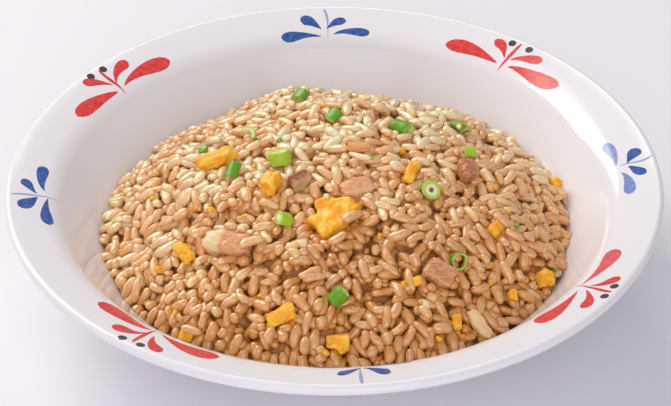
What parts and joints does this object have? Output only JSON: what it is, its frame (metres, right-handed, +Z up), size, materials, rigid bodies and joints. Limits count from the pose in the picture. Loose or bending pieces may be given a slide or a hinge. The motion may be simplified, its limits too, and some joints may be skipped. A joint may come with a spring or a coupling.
{
  "type": "fried rice plate",
  "caption": "Round rimmed porcelain plate with painted sprays, its well filled with a heap of fried rice with egg, spring onion and pork.",
  "frame": {"origin": "middle of the foot ring's flat underside, on the table", "axes": "+Z up, +Y towards the back of the plate as the picture shows it, +X to its right"},
  "size_m": [0.2298, 0.2298, 0.0641],
  "materials": {
    "glaze": "white glazed porcelain, thin glossy glaze, red and blue brush sprays on the rim",
    "rice": "fried rice grains, translucent tan, lightly oiled",
    "egg": "cooked egg, warm yellow, soft uneven surface",
    "leaf": "spring onion leaf, deep green, ribbed, waxy",
    "stalk": "spring onion stalk, pale yellow green, layered, juicy",
    "pork": "roast pork, pinkish brown, darker at the crust, with pale fat",
    "onion": "cooked onion, cream, translucent",
    "crust": "browned scrap of egg crust, orange brown"
  },
  "bodies": {
    "root": {"plate": "glaze", "rice_heap": "rice", "egg_sheet": "egg", "egg_flap": "egg", "egg_01": "egg", "egg_02": "egg", "egg_03": "egg", "egg_04": "egg", "egg_05": "egg", "egg_06": "egg", "egg_07": "egg", "egg_08": "egg", "egg_09": "egg", "egg_10": "egg", "egg_11": "egg", "pork_01": "pork", "pork_02": "pork", "pork_03": "pork", "pork_04": "pork", "pork_05": "pork", "stalk_01": "stalk", "stalk_02": "stalk", "stalk_03": "stalk", "stalk_04": "stalk", "leaf_07": "stalk", "leaf_02": "leaf", "leaf_03": "leaf", "leaf_04": "leaf", "leaf_05": "leaf", "leaf_06": "leaf", "leaf_08": "leaf", "leaf_09": "leaf", "onion_01": "onion", "crust_01": "crust"}
  },
  "joints": []
}
